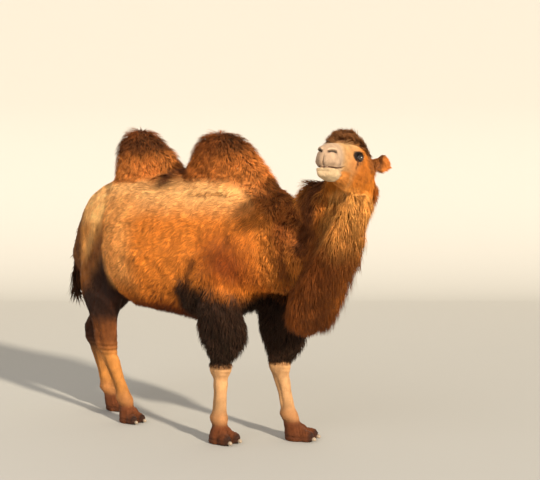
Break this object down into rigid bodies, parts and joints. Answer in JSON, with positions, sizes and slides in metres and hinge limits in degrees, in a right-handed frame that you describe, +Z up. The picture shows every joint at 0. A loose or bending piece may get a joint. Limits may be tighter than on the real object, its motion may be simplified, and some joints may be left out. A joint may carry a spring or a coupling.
{
  "type": "two-humped camel",
  "caption": "Standing two-humped camel with a long ginger coat, its head raised and turned to its right, as a life-size still model.",
  "frame": {"origin": "on the floor under the middle of the bounding box", "axes": "+X ahead of the animal, +Y to its left, +Z up"},
  "size_m": [2.7818, 0.9976, 2.12],
  "materials": {
    "coat": "soft short fur",
    "dark_hair": "long soft hair",
    "leg_coat": "short flat fur",
    "nail": "satin horn",
    "eye": "wet gloss"
  },
  "bodies": {
    "root": {"eye_left": "eye", "ear_left": "dark_hair", "eye_right": "eye", "ear_right": "dark_hair", "topknot": "dark_hair", "mane": "dark_hair", "throat_fringe": "coat", "tail": "dark_hair", "foreleg_right_nail_inner": "nail", "foreleg_right_nail_outer": "nail", "foreleg_right_foot": "leg_coat", "foreleg_right_lower": "leg_coat", "foreleg_right_upper": "dark_hair", "foreleg_left_nail_inner": "nail", "foreleg_left_nail_outer": "nail", "foreleg_left_foot": "leg_coat", "foreleg_left_lower": "leg_coat", "foreleg_left_upper": "dark_hair", "hindleg_right_nail_inner": "nail", "hindleg_right_nail_outer": "nail", "hindleg_right_foot": "leg_coat", "hindleg_right_lower": "leg_coat", "hindleg_right_upper": "coat", "hindleg_left_nail_inner": "nail", "hindleg_left_nail_outer": "nail", "hindleg_left_foot": "leg_coat", "hindleg_left_lower": "leg_coat", "hindleg_left_upper": "coat", "hump_rear": "coat", "hump_front": "coat", "lower_jaw": "coat", "head": "coat", "neck": "coat", "trunk": "coat"}
  },
  "joints": []
}
